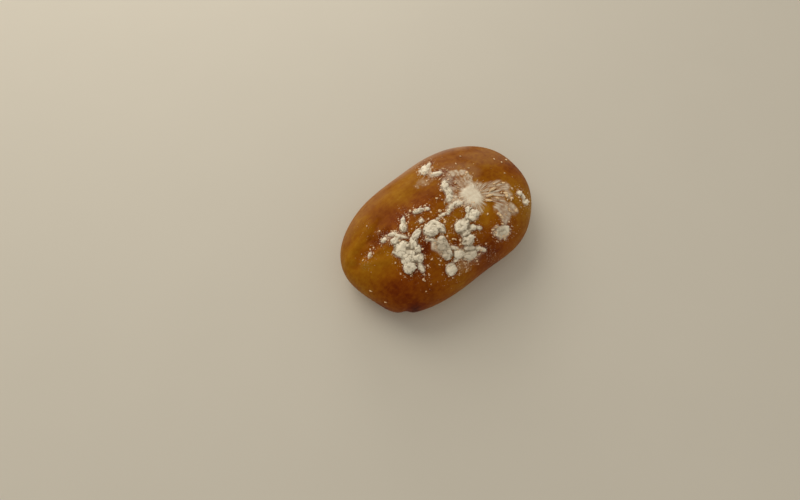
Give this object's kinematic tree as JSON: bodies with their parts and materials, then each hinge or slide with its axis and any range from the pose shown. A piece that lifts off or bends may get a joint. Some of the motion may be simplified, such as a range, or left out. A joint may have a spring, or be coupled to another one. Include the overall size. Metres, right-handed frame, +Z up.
{
  "type": "country bread roll",
  "caption": "Oval domed bread roll with a smooth golden-brown crust, a pinched tail and clumps of white powder on top, flat underneath.",
  "frame": {"origin": "middle of the roll's box in plan, on the plane that the flat base rests on", "axes": "+X along the roll from its pinched tail to its rounder end, +Y across the roll, +Z up through the crown"},
  "size_m": [0.138, 0.0872, 0.0499],
  "materials": {
    "baked_crust": "satin",
    "white_powder": "matte"
  },
  "bodies": {
    "root": {"bread_roll": "baked_crust"}
  },
  "joints": []
}
